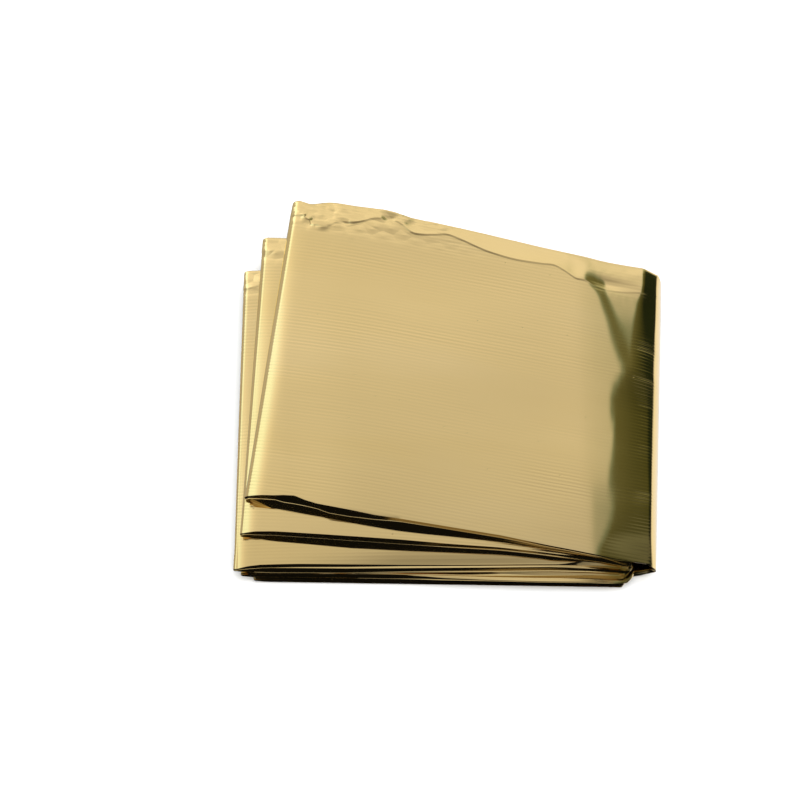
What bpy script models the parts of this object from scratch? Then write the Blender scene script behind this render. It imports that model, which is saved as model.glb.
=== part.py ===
"""Emergency foil blanket, folded into a hand-sized packet and lying flat.

The strip of film runs back and forth in leaves, one above the other.  It starts
under the packet, wraps round the right-hand side like a book cover, and comes
back over the top.  From there it folds left and right down into the middle.
The upper leaves are fanned, turned about the near right-hand corner.

Axes: +X to the right along the leaves, +Y to the back, +Z up.  The packet rests
on Z = 0 and its plan is centred on the origin.  Tables are in millimetres,
laid out from the middle of the lowest leaf, and the built mesh is in metres.
"""

import bisect
import math

import bmesh
import bpy

MM = 0.001

# Middle of the packet's plan, in the layout of the tables below.
CENTRE_X = 0.35
CENTRE_Y = 2.42

# Strip and film.
STRIP_WIDTH = 99.0
EDGE_THICKNESS = 1.1
LAYER_GAP = 0.48
TOP_LAYER_GAP = 0.8
UNDER_THICKNESS = 1.0

# How far the end of a leaf stands in from the outside of its fold.
LEFT_INSET = 0.85
RIGHT_INSET = 1.3
FOLD_STEPS = 5

# Length of a leaf's left-hand end that is pinched thin, as a share of the leaf.
PINCH_SHARE = 0.16

# Wrap round the right-hand side: its outermost reach at the front and the back.
WRAP_X_FRONT = 64.6
WRAP_X_BACK = 67.6
WRAP_Y_FRONT = -56.3
WRAP_Y_BACK = 42.0
WRAP_THICK_ABOVE = 3.0

# Crumpled band along the back edge: how far its rear falls on the top leaf, and
# the groove of the crease it starts from.
BAND_DROP = 0.8
BAND_WIDTH = 6.0
BAND_ROW = 93.0
BAND_GROOVE = 0.4
TOP_HEIGHT = 20.0

# Trough of the slanting crease near the right-hand end of the top leaf.
CREASE_DEPTH = 0.5
CREASE_HALF_WIDTH = 3.2
CREASE_LINE = (
    # x, y
    (42.0, 38.0),
    (48.4, 33.6),
    (52.6, 26.0),
    (55.0, 17.0),
    (55.6, 9.0),
)

# Folds of the strip: where the outside of each fold line lies in plan.
FOLDS = {
    # name: (front x, front y, back x, back y)
    "left A": (-62.3, -35.9, -47.3, 62.9),
    "left B": (-64.2, -46.4, -57.1, 53.2),
    "left C": (-66.3, -56.1, -63.1, 44.0),
    "left D": (-64.4, -56.7, -62.4, 43.3),
    "left E": (-60.5, -57.2, -60.9, 42.2),
    "left end": (-58.5, -56.4, -59.0, 41.0),
    "right AB": (56.0, -56.4, 58.6, 42.4),
    "right BC": (56.8, -55.8, 59.4, 42.9),
    "right CD": (57.4, -57.0, 60.0, 42.6),
    "right DE": (57.6, -58.8, 60.0, 41.6),
    "right end": (56.2, -59.1, 58.6, 41.0),
    "over wrap": (48.6, -56.1, 51.6, 42.7),
    "under wrap": (53.4, -56.0, 56.4, 41.2),
}

# Leaves from the table upward: the two folds each leaf runs between, and its
# thickness at the stations in THICKNESS_X.
THICKNESS_X = (-66.0, -50.0, -30.0, 0.0, 30.0, 48.0, 58.0)
LEAVES = (
    # name, left fold, right fold, thickness at each station
    ("under", "left end", "under wrap", (1.0, 1.0, 1.0, 1.0, 1.0, 1.0, 1.0)),
    ("E lower", "left E", "right end", (1.1, 1.3, 1.4, 1.5, 1.6, 1.5, 1.0)),
    ("E upper", "left E", "right DE", (1.1, 1.3, 1.4, 1.5, 1.6, 1.5, 1.0)),
    ("D lower", "left D", "right DE", (1.1, 1.3, 1.5, 1.7, 1.9, 1.8, 1.0)),
    ("D upper", "left D", "right CD", (1.1, 1.3, 1.5, 1.7, 1.9, 1.8, 1.0)),
    ("C lower", "left C", "right CD", (1.1, 1.3, 1.4, 1.5, 1.5, 1.4, 1.0)),
    ("C upper", "left C", "right BC", (1.1, 1.3, 1.4, 1.5, 1.5, 1.4, 1.0)),
    ("B lower", "left B", "right BC", (1.1, 1.5, 1.9, 2.0, 1.6, 1.3, 1.0)),
    ("B upper", "left B", "right AB", (1.1, 1.5, 1.9, 2.0, 1.6, 1.3, 1.0)),
    ("A lower", "left A", "right AB", (1.2, 1.9, 2.2, 1.7, 1.3, 1.2, 1.0)),
    ("A upper", "left A", "over wrap", (1.2, 1.9, 2.2, 1.7, 1.3, 1.2, 1.1)),
)

# Stations along a leaf, as shares of its length from the left fold.
INNER_STATIONS = (0.0, 0.03, 0.09, 0.2, 0.35, 0.5, 0.66, 0.8, 0.9, 0.96, 1.0)
TOP_STATIONS = (
    0.0, 0.025, 0.07, 0.13, 0.2, 0.28, 0.36, 0.44, 0.52, 0.6,
    0.68, 0.75, 0.81, 0.86, 0.905, 0.94, 0.97, 1.0,
)

# Rows across the strip: distance from the front edge, and share of the
# thickness left there, which rounds the long edges.
ROWS = (
    # mm from the front edge, share of the thickness
    (0.0, 0.4),
    (0.5, 0.75),
    (1.8, 1.0),
    (9.0, 1.0),
    (24.0, 1.0),
    (40.0, 1.0),
    (56.0, 1.0),
    (72.0, 1.0),
    (85.0, 1.0),
    (93.0, 1.0),
    (97.6, 0.95),
    (98.6, 0.72),
    (99.0, 0.4),
)

# Centre line of the wrap: distance in from its outermost reach, and height.
WRAP_PROFILE = (
    # in from the reach, height
    (12.6, 18.8),
    (9.4, 17.2),
    (6.6, 15.2),
    (4.2, 12.9),
    (2.3, 10.6),
    (0.95, 8.3),
    (0.7, 6.4),
    (1.7, 4.5),
    (3.6, 2.6),
    (5.8, 1.25),
    (8.2, 0.62),
)

# Outline of the back edge of the top leaves: how far it bulges from a straight
# line between its corners.
BACK_BULGE = (
    # share of the leaf from the left fold, mm to the back
    (0.0, 1.0),
    (0.04, -0.3),
    (0.11, 0.5),
    (0.2, 0.8),
    (0.33, 1.0),
    (0.5, 0.8),
    (0.68, 0.3),
    (0.85, -0.2),
    (1.0, 0.0),
)

BULGE_SHARE = {"A": 1.0, "B": 0.5}

# Uneven crease in front of the band on the top leaf: how wide the band is.
BAND_CREASE = (
    # share of the leaf from the left fold, mm from the back edge
    (0.0, 5.4),
    (0.13, 6.4),
    (0.2, 4.3),
    (0.28, 5.2),
    (0.36, 4.0),
    (0.44, 5.0),
    (0.52, 3.4),
    (0.6, 5.0),
    (0.68, 6.0),
    (0.81, 5.2),
    (0.905, 8.0),
    (1.0, 7.0),
)

# Gentle rises and dips of the whole packet above its lowest leaf.
SWELLS = (
    # x, y, radius, share of the height
    (-22.0, 6.0, 34.0, 0.035),
    (14.0, -22.0, 26.0, -0.028),
    (34.0, 16.0, 24.0, 0.022),
    (-4.0, 36.0, 22.0, -0.026),
    (-46.0, -22.0, 20.0, -0.03),
    (46.0, -34.0, 18.0, 0.02),
)


def curve_value(xs, ys, x):
    """Smooth curve through the stations (xs, ys), held level past its ends."""
    if x <= xs[0]:
        return ys[0]
    if x >= xs[-1]:
        return ys[-1]
    i = bisect.bisect_right(xs, x) - 1
    span = xs[i + 1] - xs[i]
    u = (x - xs[i]) / span
    chord = (ys[i + 1] - ys[i]) / span
    before = (ys[i] - ys[i - 1]) / (xs[i] - xs[i - 1]) if i > 0 else 0.0
    after = (ys[i + 2] - ys[i + 1]) / (xs[i + 2] - xs[i + 1]) if i + 2 < len(xs) else 0.0
    slope_0 = 0.5 * (before + chord)
    slope_1 = 0.5 * (chord + after)
    a = ys[i] * (2.0 * u ** 3 - 3.0 * u ** 2 + 1.0)
    b = span * slope_0 * (u ** 3 - 2.0 * u ** 2 + u)
    c = ys[i + 1] * (3.0 * u ** 2 - 2.0 * u ** 3)
    d = span * slope_1 * (u ** 3 - u ** 2)
    return a + b + c + d


def smooth(u):
    """Ease from 0 to 1."""
    u = min(max(u, 0.0), 1.0)
    return u * u * (3.0 - 2.0 * u)


def swell(x, y):
    """Height factor of the packet at a place in plan."""
    total = 1.0
    for cx, cy, radius, share in SWELLS:
        r = math.hypot(x - cx, y - cy) / radius
        total += share * math.exp(-r * r)
    return total


def level(index, x, y):
    """Centre height and thickness of one leaf at a place in plan."""
    height = 0.0
    thick = 0.0
    for row in range(index + 1):
        thick = curve_value(THICKNESS_X, LEAVES[row][3], x)
        height += thick
        if row < index:
            height += TOP_LAYER_GAP if row + 1 == len(LEAVES) - 1 else LAYER_GAP
    centre = height - 0.5 * thick
    if index == 0:
        return centre, thick
    base = UNDER_THICKNESS
    return base + (centre - base) * swell(x, y), thick


def partner(index):
    """The leaf joined to this one at its left-hand fold."""
    fold = LEAVES[index][1]
    for other, row in enumerate(LEAVES):
        if other != index and row[1] == fold:
            return other
    return None


def fold_point(name, t, inset):
    """Plan point on a fold line, set in from the outside of the fold."""
    fx, fy, bx, by = FOLDS[name]
    return fx + (bx - fx) * t + inset, fy + (by - fy) * t


def crease_depth(x, y):
    """Depth of the slanting crease at a place in plan."""
    best = 1.0e9
    for (ax, ay), (bx, by) in zip(CREASE_LINE, CREASE_LINE[1:]):
        dx = bx - ax
        dy = by - ay
        u = ((x - ax) * dx + (y - ay) * dy) / (dx * dx + dy * dy)
        u = min(max(u, 0.0), 1.0)
        best = min(best, math.hypot(x - ax - u * dx, y - ay - u * dy))
    return CREASE_DEPTH * (1.0 - smooth(best / CREASE_HALF_WIDTH))


def crease_row(s, across):
    """Move a row of the top leaf so that one of them follows the band's crease."""
    knots = [row[0] for row in BAND_CREASE]
    crease = STRIP_WIDTH - curve_value(knots, [row[1] for row in BAND_CREASE], s)
    if across <= BAND_ROW:
        return across + (crease - BAND_ROW) * smooth((across - 60.0) / (BAND_ROW - 60.0))
    return crease + (across - BAND_ROW) * (STRIP_WIDTH - crease) / (STRIP_WIDTH - BAND_ROW)


def leaf_point(index, s, across):
    """Centre point and thickness of a leaf at a share of its length, across mm."""
    name, left, right, _ = LEAVES[index]
    groove = BAND_GROOVE if name == "A upper" and across == BAND_ROW else 0.0
    if name == "A upper":
        across = crease_row(s, across)
        groove *= smooth(s / 0.06) * smooth((1.0 - s) / 0.1)
    t = across / STRIP_WIDTH
    lx, ly = fold_point(left, t, LEFT_INSET if left != "left end" else 0.0)
    free = right in ("over wrap", "under wrap", "right end")
    rx, ry = fold_point(right, t, 0.0 if free else -RIGHT_INSET)
    x = lx + (rx - lx) * s
    y = ly + (ry - ly) * s
    if name[0] in BULGE_SHARE:
        knots = [row[0] for row in BACK_BULGE]
        bulge = curve_value(knots, [row[1] for row in BACK_BULGE], s)
        y += bulge * smooth((t - 0.55) / 0.45) * BULGE_SHARE[name[0]]
    z, thick = level(index, x, y)
    mate = partner(index)
    if mate is not None:
        # The pair is pinched together along its left-hand fold.
        mate_z, mate_thick = level(mate, x, y)
        pinch = min(1.0, EDGE_THICKNESS / thick)
        pinch += (1.0 - pinch) * smooth(s / PINCH_SHARE)
        middle = 0.5 * (z + mate_z)
        gap_half = 0.5 * (TOP_LAYER_GAP if name[0] == "A" else LAYER_GAP)
        upward = 1.0 if z > mate_z else -1.0
        thick *= pinch
        z = middle + upward * (abs(z - middle) - gap_half) * pinch + upward * gap_half
    drop = BAND_DROP * z / TOP_HEIGHT
    z -= drop * smooth((across - (STRIP_WIDTH - BAND_WIDTH)) / BAND_WIDTH) if index else 0.0
    if name == "A upper":
        z -= crease_depth(x, y) + groove
    return (x, y, z), thick


def turn_points(upper, lower, out, across):
    """Points of a half-round fold from an upper leaf end down to a lower one."""
    (ux, uy, uz), thick = leaf_point(upper[0], upper[1], across)
    (lx, ly, lz), thick_low = leaf_point(lower[0], lower[1], across)
    radius = 0.5 * (uz - lz)
    points = []
    for step in range(1, FOLD_STEPS):
        angle = math.pi * step / FOLD_STEPS
        share = 0.5 * (1.0 - math.cos(angle))
        x = ux + (lx - ux) * share + out * radius * math.sin(angle)
        y = uy + (ly - uy) * share
        z = uz + (lz - uz) * share
        points.append(((x, y, z), thick + (thick_low - thick) * share))
    return points


def wrap_points(across):
    """Points of the wrap round the right-hand side, from under to over."""
    t = across / STRIP_WIDTH
    reach = WRAP_X_FRONT + (WRAP_X_BACK - WRAP_X_FRONT) * t
    y = WRAP_Y_FRONT + (WRAP_Y_BACK - WRAP_Y_FRONT) * t
    rows = []
    for inward, height in reversed(WRAP_PROFILE):
        drop = BAND_DROP * height / TOP_HEIGHT
        z = height - drop * smooth((across - (STRIP_WIDTH - BAND_WIDTH)) / BAND_WIDTH)
        thick = UNDER_THICKNESS if height < WRAP_THICK_ABOVE else EDGE_THICKNESS
        rows.append(((reach - inward, y, z), thick))
    return rows


def strip_column(across):
    """All points of the strip at one distance across it, in path order."""
    points = [leaf_point(0, s, across) for s in INNER_STATIONS]
    points += wrap_points(across)
    order = list(range(len(LEAVES) - 1, 0, -1))
    for n, index in enumerate(order):
        stations = TOP_STATIONS if n == 0 else INNER_STATIONS
        leftward = n % 2 == 0
        run = reversed(stations) if leftward else stations
        points += [leaf_point(index, s, across) for s in run]
        if n + 1 < len(order):
            end = 0.0 if leftward else 1.0
            out = -1.0 if leftward else 1.0
            points += turn_points((index, end), (order[n + 1], end), out, across)
    return points


def foil_material():
    """Gold metallised film: smooth bare metal look."""
    mat = bpy.data.materials.new("gold_foil")
    mat.use_nodes = True
    shader = mat.node_tree.nodes["Principled BSDF"]
    shader.inputs["Base Color"].default_value = (0.72, 0.52, 0.22, 1.0)
    shader.inputs["Metallic"].default_value = 1.0
    shader.inputs["Roughness"].default_value = 0.18
    return mat


def build_blanket(collection):
    """Fold a flat grid into the packet, then give the film its thickness.

    The grid's first axis runs along the strip and its second across it.
    """
    columns = [strip_column(across) for across, _ in ROWS]
    along = len(columns[0])
    rows = len(ROWS)
    mesh = bpy.data.meshes.new("foil_blanket")
    bm = bmesh.new()
    bmesh.ops.create_grid(bm, x_segments=along - 1, y_segments=rows - 1, size=1.0)
    shares = {}
    for vert in bm.verts:
        i = round((vert.co.x + 1.0) * 0.5 * (along - 1))
        j = round((vert.co.y + 1.0) * 0.5 * (rows - 1))
        (x, y, z), thick = columns[j][i]
        shares[vert.index] = thick * ROWS[j][1]
        vert.co = ((x - CENTRE_X) * MM, (y - CENTRE_Y) * MM, z * MM)
    bm.verts.index_update()
    thickest = max(shares.values())
    bm.to_mesh(mesh)
    bm.free()
    mesh.shade_smooth()

    blanket = bpy.data.objects.new("foil_blanket", mesh)
    collection.objects.link(blanket)
    blanket.data.materials.append(foil_material())
    group = blanket.vertex_groups.new(name="film_thickness")
    for index, thick in shares.items():
        group.add([index], thick / thickest, "REPLACE")

    shell = blanket.modifiers.new("film thickness", "SOLIDIFY")
    shell.thickness = thickest * MM
    shell.offset = 0.0
    shell.use_even_offset = True
    shell.use_rim = True
    shell.vertex_group = group.name
    return blanket


def main():
    for obj in list(bpy.data.objects):
        bpy.data.objects.remove(obj, do_unlink=True)
    collection = bpy.data.collections.new("emergency_foil_blanket")
    bpy.context.scene.collection.children.link(collection)
    build_blanket(collection)


main()
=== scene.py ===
"""Emergency foil blanket: the folded packet of gold film, on a pale floor in a soft studio light.

The film is one strip that runs back and forth in leaves, wraps round the right-hand
side of the packet and ends under it.  Lengths in the tables are millimetres, laid out
from the middle of the lowest leaf.  The finished meshes are in metres, and share the
frame's origin and axes: +X right along the leaves, +Y to the back, +Z up.
"""

import bisect
import math

import bmesh
import bpy
from bpy.props import (
    FloatProperty,
    FloatVectorProperty,
    PointerProperty,
)
from bpy.types import Operator, Panel, PropertyGroup
from mathutils import Matrix, Vector


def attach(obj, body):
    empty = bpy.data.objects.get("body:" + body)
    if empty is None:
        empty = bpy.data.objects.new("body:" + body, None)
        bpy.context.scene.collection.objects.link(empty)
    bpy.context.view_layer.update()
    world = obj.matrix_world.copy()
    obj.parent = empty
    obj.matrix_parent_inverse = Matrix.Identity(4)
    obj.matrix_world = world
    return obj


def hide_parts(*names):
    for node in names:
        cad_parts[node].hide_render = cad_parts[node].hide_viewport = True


bl_info = {
    "name": "Emergency Foil Blanket",
    "version": (1, 0, 0),
    "blender": (4, 5, 0),
    "location": "3D View > Sidebar > Foil Blanket",
    "description": "Builds a folded emergency foil blanket and the studio that it lies in",
    "category": "Object",
}

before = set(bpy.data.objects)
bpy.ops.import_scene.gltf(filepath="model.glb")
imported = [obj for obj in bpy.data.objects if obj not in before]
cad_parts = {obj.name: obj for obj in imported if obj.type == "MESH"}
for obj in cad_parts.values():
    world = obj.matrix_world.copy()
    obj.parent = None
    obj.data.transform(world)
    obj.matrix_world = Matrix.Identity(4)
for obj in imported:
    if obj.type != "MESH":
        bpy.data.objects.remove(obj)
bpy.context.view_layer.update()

MM = 0.001

# Middle of the packet's plan, in the layout of the tables below.
CENTRE_X = 0.35
CENTRE_Y = 2.42

# Strip and film.
STRIP_WIDTH = 99.0
EDGE_THICKNESS = 1.1
LAYER_GAP = 0.48
TOP_LAYER_GAP = 0.8
UNDER_THICKNESS = 1.0

# How far the end of a leaf stands in from the outside of its fold.
LEFT_INSET = 0.85
RIGHT_INSET = 1.3
FOLD_STEPS = 7

# Shape of some left-hand folds: how pinched to a blunt point, and how far out
# they stand for their height.
FOLD_SHAPES = {"left C": (1.5, 1.9), "left B": (1.2, 1.35)}
ROUND_FOLD = (1.0, 1.0)

# Roll of a leaf into its left-hand fold: how far it runs, how much thinner the
# leaf is at the fold, the share of that at the back, the least thickness, and how
# the roll eases off.
ROLL_RUN = 5.5
ROLL_DROP = 0.6
ROLL_BACK_SHARE = 0.2
ROLL_LEAST = 0.55
ROLL_POWER = 2.7

# Folds of the strip: where the outside of each fold line lies in plan.
FOLDS = {
    # name: (front x, front y, back x, back y)
    "left A": (-62.3, -35.9, -47.3, 62.9),
    "left B": (-64.2, -46.4, -57.1, 53.2),
    "left C": (-66.3, -56.1, -63.1, 44.0),
    "left D": (-64.4, -56.7, -62.4, 43.3),
    "left E": (-60.5, -57.2, -60.9, 42.2),
    "left end": (-58.5, -56.4, -59.0, 41.0),
    "right AB": (56.0, -56.4, 58.6, 42.4),
    "right BC": (56.8, -55.8, 59.4, 42.9),
    "right CD": (57.4, -57.0, 60.0, 42.6),
    "right DE": (57.6, -58.8, 60.0, 41.6),
    "right end": (56.2, -59.1, 58.6, 41.0),
    "over wrap": (48.6, -56.1, 51.6, 42.7),
    "under wrap": (53.4, -56.0, 56.4, 41.2),
}

# Leaves from the table upward: the folds each leaf runs between, its thickness
# at the stations in THICKNESS_X, and how many stations its mesh has.
THICKNESS_X = (-66.0, -50.0, -30.0, 0.0, 30.0, 48.0, 58.0)
LEAVES = (
    # name, left fold, right fold, thickness at each station, mesh stations (the
    # top leaf takes its own from TOP_STEPS)
    ("under", "left end", "under wrap", (1.0, 1.0, 1.0, 1.0, 1.0, 1.0, 1.0), 24),
    ("E lower", "left E", "right end", (1.1, 1.3, 1.4, 1.5, 1.6, 1.5, 1.0), 30),
    ("E upper", "left E", "right DE", (1.1, 1.3, 1.4, 1.5, 1.6, 1.5, 1.0), 34),
    ("D lower", "left D", "right DE", (1.1, 1.3, 1.5, 1.7, 1.9, 1.8, 1.0), 30),
    ("D upper", "left D", "right CD", (1.1, 1.3, 1.5, 1.7, 1.9, 1.8, 1.0), 34),
    ("C lower", "left C", "right CD", (1.1, 1.3, 1.4, 1.5, 1.5, 1.4, 1.0), 30),
    ("C upper", "left C", "right BC", (1.1, 1.3, 1.4, 1.5, 1.5, 1.4, 1.0), 66),
    ("B lower", "left B", "right BC", (1.35, 1.6, 1.9, 2.0, 1.6, 1.3, 1.0), 30),
    ("B upper", "left B", "right AB", (1.35, 1.6, 1.9, 2.0, 1.6, 1.3, 1.0), 66),
    ("A lower", "left A", "right AB", (1.9, 2.05, 2.2, 1.7, 1.3, 1.2, 1.0), 40),
    ("A upper", "left A", "over wrap", (1.9, 2.05, 2.2, 1.7, 1.3, 1.2, 1.1), 0),
)
TOP_LEAF = len(LEAVES) - 1

# Rows across the strip, as distances from its front edge, and the share of the
# film's thickness left at the last of them, which rounds the back edge.
ROWS = (
    0.0, 0.3, 0.7, 1.1, 1.5, 1.8, 2.1, 2.5, 3.2, 4.2, 5.4, 7.0, 9.5, 12.5, 16.0, 20.0,
    24.0, 28.0, 32.0, 36.0, 40.0, 44.0, 48.0, 52.0, 55.5, 59.0, 62.0, 65.0, 68.0, 71.0,
    74.0, 77.0, 80.0, 82.5, 84.5, 86.3, 88.0, 89.4, 90.5, 91.3, 91.9, 92.4, 92.7, 93.0,
    93.35, 93.8, 94.4, 95.1, 95.8, 96.5, 97.2, 97.8, 98.3, 98.65, 98.86, 99.0,
)
ROUNDED_ROWS = {98.65: 0.9, 98.86: 0.65, 99.0: 0.35}
BAND_ROW = 93.0

# Rows that follow a crease: the end of the lip and of the slope at the front,
# and the foot and the crest of the lip at the band.
LIP_ROW = 0.3
SLOPE_ROW = 1.8
FREE_ROW = 7.0
BAND_FOOT_ROW = 92.4
CREASE_ROWS = (0.0, LIP_ROW, SLOPE_ROW, BAND_FOOT_ROW, BAND_ROW)
# The rows behind this distance move along with the band's crease.
MOVING_ROWS_FROM = 60.0

# Front edges of the leaves: how far each stands back from the fold line, its
# thin lip, the slope behind the lip, and the share of its thickness in the lip.
FRONT_EDGES = {
    "A upper": (
        # x, mm back, mm lip, mm slope, lip share
        (-62.0, -0.1, 0.15, 0.3, 0.3), (-57.6, 0.4, 0.14, 0.5, 0.1),
        (-53.8, 0.66, 0.13, 0.66, 0.08), (-50.9, 0.25, 0.13, 1.55, 0.06),
        (-47.6, 0.21, 0.13, 1.9, 0.06), (-44.2, 0.02, 0.13, 1.13, 0.06),
        (-40.6, -0.28, 0.1, 0.86, 0.06), (-37.0, -1.1, 0.08, 1.48, 0.06),
        (-30.6, -1.25, 0.08, 1.38, 0.06), (-22.8, -0.91, 0.1, 0.66, 0.06),
        (-15.0, -0.25, 0.18, 0.15, 0.08), (0.6, 0.1, 0.16, 0.12, 0.1),
        (16.0, 0.4, 0.16, 0.12, 0.12), (22.5, 0.25, 0.16, 0.12, 0.15),
        (28.8, 0.15, 0.12, 0.12, 0.2), (41.0, 0.0, 0.12, 0.12, 0.2),
        (52.0, -0.1, 0.1, 0.12, 0.25), (63.0, 0.6, 0.1, 0.15, 0.25),
    ),
    "A lower": (
        (-62.0, -0.3, 0.6, 0.4, 0.2), (-60.0, -1.0, 1.0, 0.4, 0.12),
        (-57.6, -1.03, 0.5, 1.3, 0.08), (-55.0, -1.2, 0.3, 1.6, 0.06),
        (-53.4, -1.15, 0.12, 1.9, 0.06), (-50.0, -1.25, 0.1, 1.9, 0.05),
        (-44.2, -1.6, 0.1, 2.0, 0.05), (-40.6, -1.73, 0.1, 1.8, 0.05),
        (-37.0, -1.8, 0.1, 1.1, 0.05), (-30.6, -2.25, 0.1, 1.35, 0.05),
        (-22.8, -2.5, 0.1, 1.9, 0.05), (-15.0, -2.55, 0.1, 2.3, 0.05),
        (-7.2, -2.2, 0.1, 1.95, 0.05), (0.6, -1.65, 0.1, 1.4, 0.05),
        (8.4, -1.2, 0.12, 1.0, 0.06), (16.0, -0.8, 0.14, 0.7, 0.08),
        (22.5, -0.65, 0.16, 0.4, 0.1), (28.8, -0.4, 0.2, 0.3, 0.2),
        (41.0, -0.1, 0.1, 0.3, 0.3), (58.0, 0.4, 0.1, 0.4, 0.4),
    ),
    "B upper": (
        (-64.0, 0.3, 0.1, 0.2, 0.4), (-61.9, 0.6, 0.06, 0.3, 0.15),
        (-60.0, 0.6, 0.05, 0.6, 0.08), (-54.1, 0.75, 0.03, 0.75, 0.04),
        (-46.2, 0.66, 0.03, 0.77, 0.04), (-30.6, 0.53, 0.03, 0.78, 0.04),
        (-15.0, 0.54, 0.03, 0.73, 0.04), (-6.0, 0.6, 0.06, 0.5, 0.05),
        (0.6, 0.67, 0.14, 0.28, 0.06), (16.2, 0.91, 0.2, 0.15, 0.1),
        (28.8, 0.5, 0.2, 0.2, 0.2), (35.0, 0.2, 0.2, 0.25, 0.25),
        (41.2, 0.0, 0.1, 0.6, 0.2), (51.2, -0.1, 0.1, 0.8, 0.2),
        (60.0, 0.2, 0.1, 0.8, 0.3),
    ),
    "B lower": (
        (-64.0, 0.2, 0.3, 0.3, 0.4), (-61.9, 0.3, 0.35, 0.4, 0.15),
        (-60.0, 0.1, 0.15, 0.6, 0.08), (-54.1, -0.46, 0.06, 1.15, 0.05),
        (-46.2, -0.69, 0.05, 1.3, 0.05), (-30.6, -1.19, 0.05, 1.65, 0.05),
        (-15.0, -0.96, 0.05, 1.4, 0.05), (0.6, -0.51, 0.05, 1.05, 0.05),
        (16.2, -0.1, 0.06, 0.85, 0.08), (28.8, -0.52, 0.08, 0.85, 0.1),
        (35.0, -0.8, 0.08, 0.8, 0.15), (41.2, -0.3, 0.1, 0.4, 0.4),
        (51.2, -0.15, 0.1, 0.3, 0.6), (60.0, 0.3, 0.1, 0.4, 0.6),
    ),
    "C upper": (
        (-66.0, -0.3, 0.1, 0.2, 0.4), (-61.9, 0.1, 0.1, 0.5, 0.2),
        (-58.1, 0.35, 0.06, 0.65, 0.1), (-46.2, 0.35, 0.05, 0.65, 0.08),
        (-30.6, 0.2, 0.05, 0.5, 0.08), (-15.0, 0.25, 0.05, 0.3, 0.08),
        (0.6, 0.2, 0.05, 0.2, 0.08), (16.2, 0.15, 0.06, 0.15, 0.1),
        (35.0, 0.05, 0.1, 0.15, 0.2), (44.0, -0.2, 0.1, 1.6, 0.6),
        (51.2, -0.3, 0.1, 2.0, 0.62), (60.0, 0.0, 0.1, 1.6, 0.62),
    ),
    "C lower": (
        (-66.0, 0.0, 0.1, 0.3, 0.4), (-61.9, -0.19, 0.1, 0.5, 0.15),
        (-54.1, -0.47, 0.06, 0.85, 0.08), (-30.6, -0.59, 0.05, 0.68, 0.06),
        (-15.0, -0.43, 0.25, 0.4, 0.08), (0.6, -0.35, 0.35, 0.35, 0.1),
        (16.2, -0.25, 0.35, 0.35, 0.12), (35.0, -0.1, 0.35, 0.4, 0.2),
        (44.0, -0.4, 0.3, 0.3, 0.4), (52.0, -0.5, 0.3, 0.3, 0.5),
        (60.0, -0.1, 0.2, 0.4, 0.5),
    ),
    "D upper": (
        (-64.0, 0.1, 0.1, 0.3, 0.4), (-58.0, 0.1, 0.08, 0.3, 0.12),
        (-39.6, 0.1, 0.06, 0.4, 0.1), (-33.0, 0.05, 0.5, 0.3, 0.1),
        (-29.6, -0.05, 0.6, 0.3, 0.1), (-28.2, 0.0, 0.08, 0.4, 0.1),
        (-24.0, 0.0, 0.1, 0.4, 0.12), (-18.0, -0.1, 0.5, 0.4, 0.12),
        (0.0, -0.5, 1.0, 0.3, 0.15), (16.0, -0.85, 0.6, 1.6, 0.45),
        (30.0, -1.0, 0.1, 3.0, 0.64), (52.0, -0.9, 0.1, 3.0, 0.66),
        (60.0, -0.2, 0.1, 2.0, 0.7),
    ),
    "D lower": (
        (-64.0, 0.0, 0.1, 0.3, 0.4), (-58.0, -0.1, 0.06, 0.6, 0.12),
        (-20.0, -0.1, 0.06, 0.6, 0.1), (-8.0, -0.4, 0.2, 0.4, 0.4),
        (0.0, -0.8, 0.2, 0.2, 0.7), (16.0, -1.1, 0.12, 0.1, 0.9),
        (30.0, -1.3, 0.12, 0.1, 0.9), (52.0, -1.2, 0.12, 0.1, 0.9),
        (60.0, -0.3, 0.1, 0.1, 0.9),
    ),
    "E upper": (
        (-64.0, 0.0, 0.1, 0.4, 0.4), (-56.0, 0.0, 0.06, 0.7, 0.12),
        (-10.0, 0.0, 0.06, 0.6, 0.12), (4.0, 0.2, 0.06, 0.2, 0.6),
        (16.0, 0.5, 0.06, 0.1, 0.9), (30.0, 0.6, 0.06, 0.1, 0.9),
        (47.0, 0.9, 0.06, 0.1, 0.9), (60.0, 0.5, 0.06, 0.1, 0.9),
    ),
}
PLAIN_EDGE = (
    (-66.0, 0.0, 0.1, 0.4, 0.4), (-56.0, 0.0, 0.06, 0.7, 0.12),
    (-20.0, 0.0, 0.06, 0.6, 0.12), (0.0, 0.0, 0.06, 0.9, 0.2),
    (30.0, 0.0, 0.06, 0.9, 0.25), (60.0, 0.0, 0.1, 0.7, 0.4),
)

# Droop of one leaf over its last few millimetres: x, and the share of its
# thickness that is gone at the very front.
DROOPING_LEAF = "C upper"
DROOP = (
    (-61.9, 0.0), (-58.1, 0.02), (-46.2, 0.08), (-30.6, 0.3), (-15.0, 0.68),
    (0.6, 0.72), (16.2, 0.7), (35.0, 0.6), (44.0, 0.25), (51.2, 0.1),
)
DROOP_RUN = 7.0
DROOP_END = 0.5

# Curl of the lower lip of the top fold: x, how far its very edge stands up.
CURLED_LEAF = "A lower"
LIP_CURL = ((-62.0, 0.0), (-60.0, 0.3), (-57.6, 0.3), (-54.5, 0.0))

# Room left between leaves at the front, how far back it opens, and where along
# each pair the leaves start to close.
FRONT_GAP = 0.12
FRONT_GAP_RUN = 8.0
CLOSED_FROM = {"A": -54.0, "B": -62.0, "C": -66.0, "D": -58.0, "E": -60.0}
CLOSING_RUN = 5.0

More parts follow.
